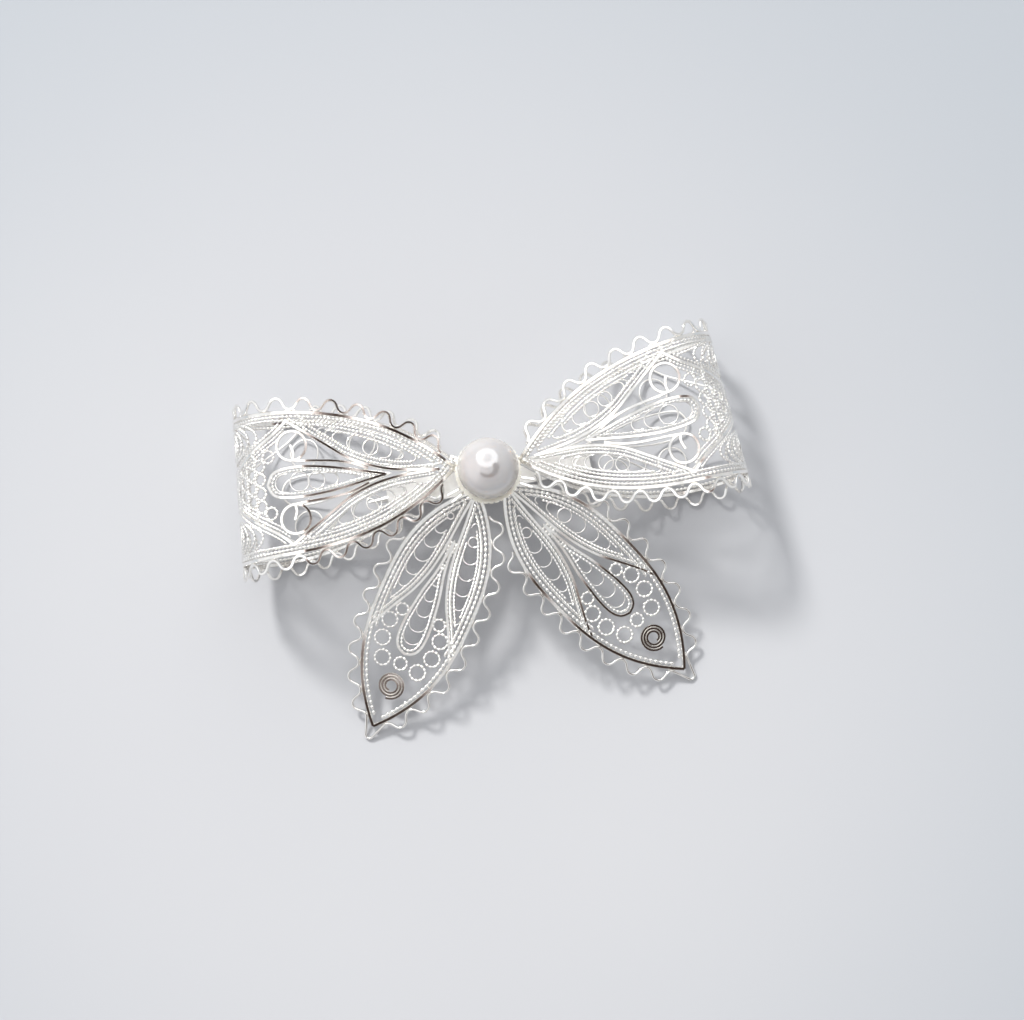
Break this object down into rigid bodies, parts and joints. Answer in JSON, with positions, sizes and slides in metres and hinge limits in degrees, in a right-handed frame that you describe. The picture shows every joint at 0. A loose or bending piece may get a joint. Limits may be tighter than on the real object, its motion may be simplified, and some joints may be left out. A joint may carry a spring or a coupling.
{
  "type": "filigree bow brooch",
  "caption": "Ribbon bow brooch of pierced filigree wire with bent loops and hanging tails, a round pearl in a fluted cup on the knot, and a pin across the back.",
  "frame": {"origin": "middle of the bow's width and height, on the surface that it lies on", "axes": "+X to the right of the bow seen from its front, +Y to its top, +Z out of its front"},
  "size_m": [0.0524, 0.036, 0.015],
  "materials": {
    "silver": "bright",
    "pearl": "pearl lustre"
  },
  "bodies": {
    "root": {"left_loop": "silver", "right_loop": "silver", "left_tail": "silver", "right_tail": "silver", "pearl": "pearl", "pearl_cup": "silver", "brooch_pin": "silver"}
  },
  "joints": []
}
